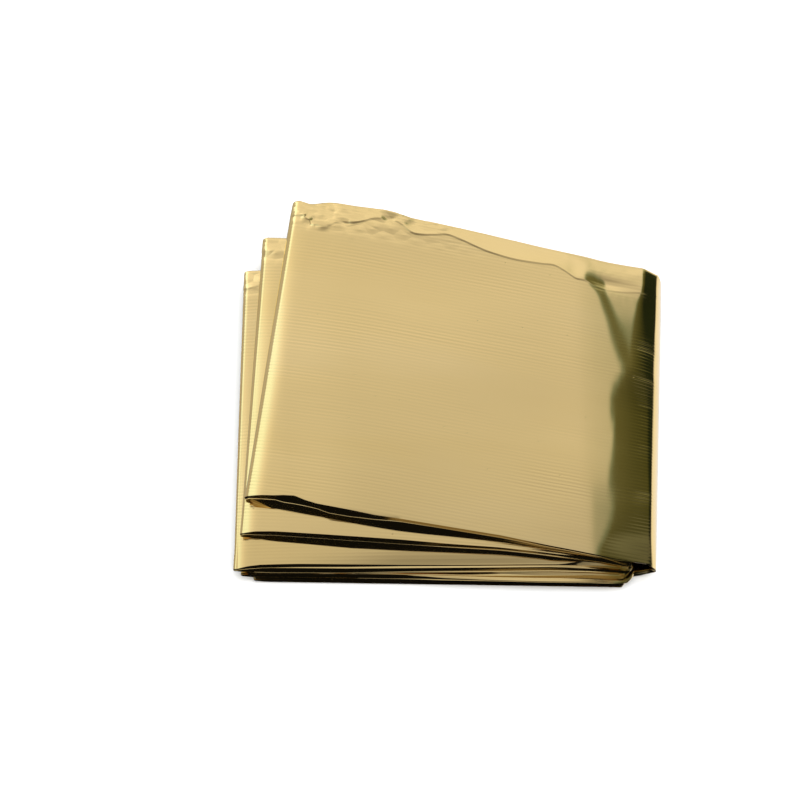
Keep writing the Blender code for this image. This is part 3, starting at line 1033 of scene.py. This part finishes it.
def new_material(name):
    """A node material, with its tree and its shader."""
    mat = bpy.data.materials.new(name)
    mat.use_nodes = True
    return mat, mat.node_tree, mat.node_tree.nodes["Principled BSDF"]


def add_node(tree, kind, name, **inputs):
    """Add a node with its label and unlinked inputs set."""
    node = tree.nodes.new(kind)
    node.name = name
    node.label = name
    for key, value in inputs.items():
        node.inputs[key.replace("_", " ")].default_value = value
    return node


def math_node(tree, name, operation, *values):
    """A Math node whose inputs are sockets or numbers."""
    node = add_node(tree, "ShaderNodeMath", name)
    node.operation = operation
    for slot, value in enumerate(values):
        if isinstance(value, (int, float)):
            node.inputs[slot].default_value = value
        else:
            tree.links.new(value, node.inputs[slot])
    return node.outputs[0]


def ramp_node(tree, name, source, *stops, interpolation="EASE"):
    """A colour ramp through (position, grey or colour) stops."""
    node = add_node(tree, "ShaderNodeValToRGB", name)
    node.color_ramp.interpolation = interpolation
    elements = node.color_ramp.elements
    while len(elements) > 1:
        elements.remove(elements[-1])
    elements[0].position = stops[0][0]
    for n, (position, colour) in enumerate(stops):
        element = elements.new(position) if n else elements[0]
        element.color = (*(colour if isinstance(colour, tuple) else grey(colour)), 1.0)
    tree.links.new(source, node.inputs["Fac"])
    return node.outputs["Color"]


def grey(value):
    """A neutral colour."""
    return (value, value, value)


def strip_texture(tree, kind, name, along, across, **inputs):
    """A texture in the strip's own coordinates, at its own scale along and across it."""
    space = add_node(tree, "ShaderNodeMapping", name + " space", Scale=(along, across, 1.0))
    tree.links.new(tree.nodes["strip coordinates"].outputs["UV"], space.inputs["Vector"])
    texture = add_node(tree, kind, name, **inputs)
    tree.links.new(space.outputs["Vector"], texture.inputs["Vector"])
    return texture


def bump_node(tree, name, height, depth, below=None):
    """A bump of a given depth, laid over the normal of the one below it."""
    node = add_node(tree, "ShaderNodeBump", name, Strength=1.0, Distance=depth)
    tree.links.new(height, node.inputs["Height"])
    if below is not None:
        tree.links.new(below, node.inputs["Normal"])
    return node.outputs["Normal"]


# Stretch lines: the shares of the fine wave and of the long streaks in them, and
# how the lines deepen over the bend, per metre past its middle.
LINE_WAVE_SHARE = 0.55
LINE_STREAK_SHARE = 0.9
BEND_LINE_RATE = 25.0
BEND_LINE_DEPTH = 4.5

# Share of the pinprick cells that hold no dent.
DENT_RARITY = 0.94


def gold_film_material(settings, shoulder, left_fold, leaf_run):
    """Gold metallised film: fine stretch lines along the strip, soft waves, a
    crumpled selvedge and pinprick dents, in the strip's own coordinates.

    The lines are deepest over the bend, which starts at the shoulder's place along
    the strip, and the crumples near the left-hand folds.
    """
    mat, tree, shader = new_material("gold_film")
    shader.inputs["Metallic"].default_value = 1.0
    links = tree.links

    strip = add_node(tree, "ShaderNodeUVMap", "strip coordinates")
    strip.uv_map = "strip"
    parts = add_node(tree, "ShaderNodeSeparateXYZ", "along and across")
    links.new(strip.outputs["UV"], parts.inputs["Vector"])
    along = parts.outputs["X"]
    across = math_node(tree, "across share", "DIVIDE", parts.outputs["Y"], STRIP_WIDTH * MM)

    # Stretch lines: a fine wave across the strip that comes and goes.
    lines = strip_texture(
        tree, "ShaderNodeTexWave", "stretch lines", 0.06, 1.0,
        Scale=math.tau / 20.0 / settings.line_spacing,
        Distortion=2.2, Detail=2.0, Detail_Scale=0.25, Detail_Roughness=0.6,
    )
    lines.wave_type = "BANDS"
    lines.bands_direction = "Y"
    streaks = strip_texture(
        tree, "ShaderNodeTexNoise", "streaks", 16.0, 1500.0, Scale=1.0, Detail=3.0, Roughness=0.6
    )
    patches = strip_texture(
        tree, "ShaderNodeTexNoise", "line patches", 14.0, 75.0, Scale=1.0, Detail=2.0
    )
    strength = ramp_node(
        tree, "line strength", patches.outputs["Fac"], (0.34, 0.12), (0.5, 0.45), (0.66, 1.0)
    )
    wave = math_node(tree, "wave part", "MULTIPLY", lines.outputs["Fac"], LINE_WAVE_SHARE)
    streak = math_node(tree, "streak part", "MULTIPLY", streaks.outputs["Fac"], LINE_STREAK_SHARE)
    height = math_node(tree, "line height", "ADD", wave, streak)
    height = math_node(tree, "masked lines", "MULTIPLY", height, strength)
    past = math_node(tree, "past the shoulder", "SUBTRACT", along, shoulder)
    past = math_node(tree, "bend share", "MULTIPLY_ADD", past, BEND_LINE_RATE, 0.5)
    bend_lines = ramp_node(
        tree, "lines over the bend", past, (0.47, 0.0), (0.52, 1.0), (0.60, 1.0), (0.73, 0.0)
    )
    ribbed = ramp_node(
        tree, "where the bend is ribbed", across,
        (0.0, 0.3), (0.25, 0.45), (0.4, 0.8), (0.75, 1.0), (0.79, 0.0),
    )
    bend_lines = math_node(tree, "bend lines", "MULTIPLY", bend_lines, ribbed)
    deeper = math_node(tree, "deeper lines", "MULTIPLY_ADD", bend_lines, BEND_LINE_DEPTH, 1.0)
    height = math_node(tree, "all lines", "MULTIPLY", height, deeper)
    bump = bump_node(tree, "line bump", height, settings.line_depth)

    # Soft waves of the stretched film.
    waves = strip_texture(
        tree, "ShaderNodeTexNoise", "soft waves", 26.0, 42.0, Scale=1.0, Detail=2.0, Roughness=0.4
    )
    bump = bump_node(tree, "wave bump", waves.outputs["Fac"], settings.wave_depth, bump)

    # Crumpling along the back edge of every leaf.
    crumples = strip_texture(tree, "ShaderNodeTexVoronoi", "crumples", 190.0, 330.0, Scale=1.0)
    crumples.voronoi_dimensions = "2D"
    edge = ramp_node(tree, "back edge", across, (0.90, 0.0), (0.945, 1.0), (1.0, 1.0))
    pitch = math_node(tree, "from a left fold", "SUBTRACT", along, left_fold)
    pitch = math_node(tree, "nearest left fold", "PINGPONG", pitch, leaf_run)
    near_fold = ramp_node(
        tree, "near a left fold", math_node(tree, "run share", "DIVIDE", pitch, leaf_run),
        (0.0, 1.0), (0.15, 0.9), (0.42, 0.35), (0.55, 0.08),
    )
    height = math_node(tree, "crumple height", "MULTIPLY", crumples.outputs["Distance"], edge)
    height = math_node(tree, "crumples in place", "MULTIPLY", height, near_fold)
    bump = bump_node(tree, "crumple bump", height, settings.crumple_depth, bump)

    # Pinprick dents that glint.
    dents = strip_texture(
        tree, "ShaderNodeTexVoronoi", "dents", 140.0, 140.0, Scale=1.0, Randomness=1.0
    )
    dents.voronoi_dimensions = "2D"
    pick = add_node(tree, "ShaderNodeSeparateColor", "dent pick")
    links.new(dents.outputs["Color"], pick.inputs["Color"])
    picked = math_node(tree, "few of them", "GREATER_THAN", pick.outputs["Red"], DENT_RARITY)
    shape = ramp_node(tree, "dent shape", dents.outputs["Distance"], (0.0, 1.0), (0.03, 0.0))
    height = math_node(tree, "dent height", "MULTIPLY", shape, picked)
    bump = bump_node(tree, "dent bump", height, settings.dent_depth, bump)
    links.new(bump, shader.inputs["Normal"])

    # Colour: warmer and paler places in the gold.
    tint = strip_texture(tree, "ShaderNodeTexNoise", "tint", 9.0, 30.0, Scale=1.0, Detail=3.0)
    red, green, blue = settings.film_colour
    colour = ramp_node(
        tree, "gold", tint.outputs["Fac"],
        (0.3, (red * 0.985, green * 0.975, blue * 0.93)),
        (0.5, (red, green, blue)),
        (0.7, (min(red * 1.01, 1.0), green * 1.02, blue * 1.07)),
    )
    links.new(colour, shader.inputs["Base Color"])
    rough = settings.film_roughness
    haze = ramp_node(
        tree, "haze", patches.outputs["Fac"], (0.3, rough * 0.85), (0.7, rough * 1.2)
    )
    links.new(haze, shader.inputs["Roughness"])
    return mat


def floor_material(settings):
    """Pale matt studio floor with a trace of unevenness."""
    mat, tree, shader = new_material("studio_floor")
    place = add_node(tree, "ShaderNodeTexCoord", "floor place")
    grain = add_node(tree, "ShaderNodeTexNoise", "floor grain", Scale=7.0, Detail=2.0)
    tree.links.new(place.outputs["Object"], grain.inputs["Vector"])
    value = settings.floor_value
    tone = ramp_node(tree, "floor tone", grain.outputs["Fac"], (0.35, value * 0.99), (0.65, value))
    tree.links.new(tone, shader.inputs["Base Color"])
    shader.inputs["Roughness"].default_value = 0.9
    shader.inputs["Specular IOR Level"].default_value = 0.1
    return mat


# Brightness of what lies straight in front of the packet.
FRONT_DARK = 0.003


def studio_world(settings):
    """Soft light from a large panel overhead and to the back and left.

    Its brightness is set by direction: the panel's right-hand edge falls off in two
    steps and its front edge gently, and the room below is pale but for its front.
    """
    world = bpy.data.worlds.new("soft_studio")
    world.use_nodes = True
    tree = world.node_tree
    background = tree.nodes["Background"]
    place = add_node(tree, "ShaderNodeTexCoord", "direction")
    parts = add_node(tree, "ShaderNodeSeparateXYZ", "direction parts")
    tree.links.new(place.outputs["Generated"], parts.inputs["Vector"])

    def half(name, output):
        """Map a direction part from -1..1 to 0..1."""
        doubled = math_node(tree, name + " half", "MULTIPLY", parts.outputs[output], 0.5)
        return math_node(tree, name + " share", "ADD", doubled, 0.5)

    def ramp(name, source, *stops):
        """A straight ramp."""
        return ramp_node(tree, name, source, *stops, interpolation="LINEAR")

    def mixed(name, blend, factor, first, second):
        """A colour Mix node whose inputs are sockets, numbers or colours."""
        node = add_node(tree, "ShaderNodeMix", name)
        node.data_type = "RGBA"
        node.blend_type = blend
        for slot, value in ((0, factor), (6, first), (7, second)):
            if isinstance(value, float):
                node.inputs[slot].default_value = value
            elif isinstance(value, tuple):
                node.inputs[slot].default_value = (*value, 1.0)
            else:
                tree.links.new(value, node.inputs[slot])
        return node.outputs[2]

    sideways, depthways, upward = half("side", "X"), half("depth", "Y"), half("height", "Z")
    left_part = (
        (0.0, 0.38), (0.14, 0.38),
        (0.165, (0.88, 1.06, 1.12)), (0.235, (0.88, 1.04, 1.08)), (0.275, (0.78, 0.83, 0.85)),
        (0.30, 0.74), (0.325, 0.67), (0.345, 0.62), (0.40, 0.573), (0.45, 0.555),
    )
    deep = ramp(
        "dark on the right", sideways, *left_part,
        (0.60, (0.55, 0.55, 0.56)), (0.635, (0.48, 0.49, 0.48)), (0.675, (0.17, 0.22, 0.18)),
        (0.725, (0.10, 0.105, 0.05)), (0.85, (0.055, 0.06, 0.022)), (0.93, (0.012, 0.018, 0.009)),
    )
    soft = ramp(
        "dim on the right", sideways, *left_part,
        (0.60, (0.56, 0.56, 0.56)), (0.66, (0.44, 0.45, 0.42)), (0.72, (0.28, 0.31, 0.24)),
        (0.85, (0.20, 0.22, 0.16)), (1.0, (0.16, 0.17, 0.13)),
    )
    beyond = ramp(
        "beside the dark", depthways, (0.475, 1.0), (0.56, 0.0), (0.79, 0.0), (0.86, 1.0)
    )
    depth = ramp(
        "front to back", depthways,
        (0.0, 0.20), (0.28, 0.24), (0.40, 0.34), (0.46, 0.42), (0.52, 0.49),
        (0.60, 0.63), (0.6875, 0.75), (0.76, 0.87), (0.82, 1.0), (1.0, 0.85),
    )
    above = mixed("panel", "MULTIPLY", 1.0, mixed("panel side", "MIX", beyond, deep, soft), depth)

    # What shines back from below the horizon: pale all round but dim to the left
    # and dark to the front.
    low_side = ramp("low side", sideways, (0.46, 0.29), (0.56, 0.59))
    low_front = ramp("low front", depthways, (0.44, FRONT_DARK), (0.52, 1.0))
    low = mixed("low light", "MULTIPLY", 1.0, low_side, low_front)
    below = ramp("below the horizon", upward, (0.30, 1.0), (0.425, 0.0))
    around = mixed("above and below", "MIX", below, above, low)

    # A dark patch low down straight in front.
    ahead = ramp("ahead", depthways, (0.12, 1.0), (0.18, 0.0))
    under = ramp("under", upward, (0.80, 1.0), (0.85, 0.0))
    offside = math_node(tree, "offside", "ABSOLUTE", parts.outputs["X"])
    narrow = ramp("narrow", offside, (0.7, 1.0), (0.85, 0.0))
    patch = math_node(tree, "patch", "MULTIPLY", ahead, under)
    patch = math_node(tree, "patch edge", "MULTIPLY", patch, narrow)
    total = mixed("all light", "MIX", patch, around, grey(FRONT_DARK))
    tree.links.new(total, background.inputs["Color"])
    background.inputs["Strength"].default_value = settings.panel_strength
    return world


def film_sides(column, share):
    """Both faces of the film at one distance across it, square to its run."""
    sides = []
    for n, ((x, y, z), thick, _) in enumerate(column):
        ax, _, az = column[max(n - 1, 0)][0]
        bx, _, bz = column[min(n + 1, len(column) - 1)][0]
        half = 0.5 * thick * share / math.hypot(bx - ax, bz - az)
        out_x, out_z = half * (bz - az), -half * (bx - ax)
        sides.append(((x + out_x, y, z + out_z), (x - out_x, y, z - out_z)))
    return sides


def build_blanket(settings):
    """Extrude a flat grid into a film, and fold both its faces into the packet.

    The grid's first axis runs along the strip and its second across it.
    """
    shares = top_shares()
    columns = [strip_column(across, shares) for across in ROWS]
    along = len(columns[0])
    rows = len(ROWS)
    middle = columns[rows // 2]
    lengths = [0.0]
    for a, b in zip(middle, middle[1:]):
        lengths.append(lengths[-1] + math.dist(a[0], b[0]) * MM)

    mesh = bpy.data.meshes.new("gold_blanket")
    bm = bmesh.new()
    bmesh.ops.create_grid(bm, x_segments=along - 1, y_segments=rows - 1, size=1.0)
    extruded = bmesh.ops.extrude_face_region(bm, geom=bm.faces[:], use_keep_orig=True)
    far_side = {item for item in extruded["geom"] if isinstance(item, bmesh.types.BMVert)}
    bm.verts.index_update()
    sides = [
        film_sides(column, ROUNDED_ROWS.get(across, 1.0)) for column, across in zip(columns, ROWS)
    ]
    spots = {}
    row_of = {}
    for vert in bm.verts:
        i = round((vert.co.x + 1.0) * 0.5 * (along - 1))
        j = round((vert.co.y + 1.0) * 0.5 * (rows - 1))
        x, y, z = sides[j][i][0 if vert in far_side else 1]
        row_of[vert.index] = j
        spots[vert.index] = (lengths[i], columns[j][i][2] * MM)
        vert.co = ((x - CENTRE_X) * MM, (y - CENTRE_Y) * MM, z * MM)
    creased = {j for j, across in enumerate(ROWS) if across in CREASE_ROWS}
    for edge in bm.edges:
        ends = {row_of[vert.index] for vert in edge.verts}
        edge.smooth = not (len(ends) == 1 and ends <= creased)
    uv = bm.loops.layers.uv.new("strip")
    for face in bm.faces:
        face.smooth = True
        for loop in face.loops:
            loop[uv].uv = spots[loop.vert.index]
    bmesh.ops.recalc_face_normals(bm, faces=bm.faces)
    bm.to_mesh(mesh)
    bm.free()

    blanket = bpy.data.objects.new("gold_blanket", mesh)
    bpy.context.scene.collection.objects.link(blanket)
    top_start = LEAVES[0][4] + len(WRAP_UNDER) + len(WRAP_SIDE)
    shoulder = lengths[top_start]
    left_fold = lengths[top_start + len(shares) - 1]
    mesh.materials.append(
        gold_film_material(settings, shoulder, left_fold, left_fold - shoulder)
    )
    return blanket


class FoilBlanketSettings(PropertyGroup):
    """Finish of the gold film."""

    film_colour: FloatVectorProperty(
        name="Film colour", description="Colour of the gold film",
        default=(0.954, 0.712, 0.319), min=0.0, max=1.0, size=3, subtype="COLOR",
    )
    film_roughness: FloatProperty(
        name="Film roughness", description="Blur of the film's reflections",
        default=0.13, min=0.02, max=0.6, subtype="FACTOR",
    )
    line_spacing: FloatProperty(
        name="Line spacing", description="Distance between the film's stretch lines",
        default=0.0011, min=0.0003, max=0.01, unit="LENGTH",
    )
    line_depth: FloatProperty(
        name="Line depth", description="Depth of the film's stretch lines",
        default=0.00003, min=0.0, max=0.0005, precision=6, unit="LENGTH",
    )
    wave_depth: FloatProperty(
        name="Wave depth", description="Depth of the soft waves in the film",
        default=0.00012, min=0.0, max=0.002, precision=5, unit="LENGTH",
    )
    crumple_depth: FloatProperty(
        name="Crumple depth", description="Depth of the crumpling along the back edges",
        default=0.00035, min=0.0, max=0.002, precision=5, unit="LENGTH",
    )
    dent_depth: FloatProperty(
        name="Dent depth", description="Depth of the pinprick dents",
        default=0.00008, min=0.0, max=0.001, precision=5, unit="LENGTH",
    )


class StudioSettings(PropertyGroup):
    """Floor, light and camera of the studio."""

    floor_size: FloatProperty(
        name="Floor size", description="Side of the square floor",
        default=18.0, min=2.0, max=40.0, unit="LENGTH",
    )
    floor_value: FloatProperty(
        name="Floor brightness", description="How pale the floor is",
        default=0.9, min=0.1, max=1.0, subtype="FACTOR",
    )
    panel_strength: FloatProperty(
        name="Panel strength", description="Brightness of the overhead panel",
        default=1.6, min=0.0, max=10.0,
    )
    fill_strength: FloatProperty(
        name="Floor fill", description="Strength of the soft light on the floor",
        default=4.4, min=0.0, max=20.0,
    )
    camera_elevation: FloatProperty(
        name="Camera elevation", description="Angle of the camera above the floor",
        default=math.radians(68.0), min=0.0, max=math.pi / 2, subtype="ANGLE",
    )
    camera_distance: FloatProperty(
        name="Camera distance", description="Distance from the camera to the packet",
        default=2.2, min=0.3, max=20.0, unit="LENGTH",
    )
    camera_lens: FloatProperty(
        name="Camera lens", description="Focal length of the camera, in millimetres",
        default=316.8, min=10.0, max=1000.0,
    )


# Where the camera looks, in the layout of the tables above.
AIM = (-15.0, 0.0, 10.0)
SENSOR_WIDTH = 36.0
CAMERA_CLIP_END = 50.0

# Soft light on the floor: the spread of its sun, and its turns about X and Y.
FILL_SPREAD = math.radians(60.0)
FILL_TURN = (math.radians(6.0), math.radians(8.0), 0.0)


class FOIL_OT_add_blanket(Operator):
    """Add the folded gold blanket"""

    bl_idname = "foil.add_blanket"
    bl_label = "Add foil blanket"

    def execute(self, context):
        blanket = build_blanket(context.scene.foil_blanket)
        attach(blanket, "root")
        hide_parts("foil_blanket")
        return {"FINISHED"}


class FOIL_OT_add_studio(Operator):
    """Add the floor, the soft light and the camera"""

    bl_idname = "foil.add_studio"
    bl_label = "Add studio"

    def execute(self, context):
        settings = context.scene.foil_studio
        scene = context.scene
        mesh = bpy.data.meshes.new("studio_floor")
        bm = bmesh.new()
        bmesh.ops.create_grid(bm, x_segments=4, y_segments=4, size=0.5 * settings.floor_size)
        bm.to_mesh(mesh)
        bm.free()
        floor = bpy.data.objects.new("studio_floor", mesh)
        scene.collection.objects.link(floor)
        floor.visible_glossy = False
        mesh.materials.append(floor_material(settings))

        scene.world = studio_world(settings)
        scene.view_settings.view_transform = "Standard"

        lamp = bpy.data.lights.new("floor_fill", "SUN")
        lamp.energy = settings.fill_strength
        lamp.angle = FILL_SPREAD
        fill = bpy.data.objects.new("floor_fill", lamp)
        fill.rotation_euler = FILL_TURN
        fill.visible_glossy = False
        scene.collection.objects.link(fill)

        data = bpy.data.cameras.new("camera")
        data.lens = settings.camera_lens
        data.sensor_width = SENSOR_WIDTH
        data.clip_end = CAMERA_CLIP_END
        camera = bpy.data.objects.new("camera", data)
        back = Vector(
            (0.0, -math.cos(settings.camera_elevation), math.sin(settings.camera_elevation))
        )
        target = Vector(((AIM[0] - CENTRE_X) * MM, (AIM[1] - CENTRE_Y) * MM, AIM[2] * MM))
        camera.matrix_world = (
            Matrix.Translation(target + back * settings.camera_distance)
            @ back.to_track_quat("Z", "Y").to_matrix().to_4x4()
        )
        scene.collection.objects.link(camera)
        scene.camera = camera
        return {"FINISHED"}


class FOIL_PT_panel(Panel):
    """Sidebar panel of the foil blanket"""

    bl_idname = "FOIL_PT_panel"
    bl_label = "Foil Blanket"
    bl_space_type = "VIEW_3D"
    bl_region_type = "UI"
    bl_category = "Foil Blanket"

    def draw(self, context):
        for group, operator in (
            (context.scene.foil_blanket, FOIL_OT_add_blanket),
            (context.scene.foil_studio, FOIL_OT_add_studio),
        ):
            box = self.layout.box()
            for name in group.__annotations__:
                box.prop(group, name)
            box.operator(operator.bl_idname)


CLASSES = (
    FoilBlanketSettings,
    StudioSettings,
    FOIL_OT_add_blanket,
    FOIL_OT_add_studio,
    FOIL_PT_panel,
)


def register():
    for cls in CLASSES:
        bpy.utils.register_class(cls)
    bpy.types.Scene.foil_blanket = PointerProperty(type=FoilBlanketSettings)
    bpy.types.Scene.foil_studio = PointerProperty(type=StudioSettings)


def unregister():
    del bpy.types.Scene.foil_studio
    del bpy.types.Scene.foil_blanket
    for cls in reversed(CLASSES):
        bpy.utils.unregister_class(cls)


def main():
    register()
    bpy.ops.foil.add_studio()
    bpy.ops.foil.add_blanket()


if __name__ == "__main__":
    main()
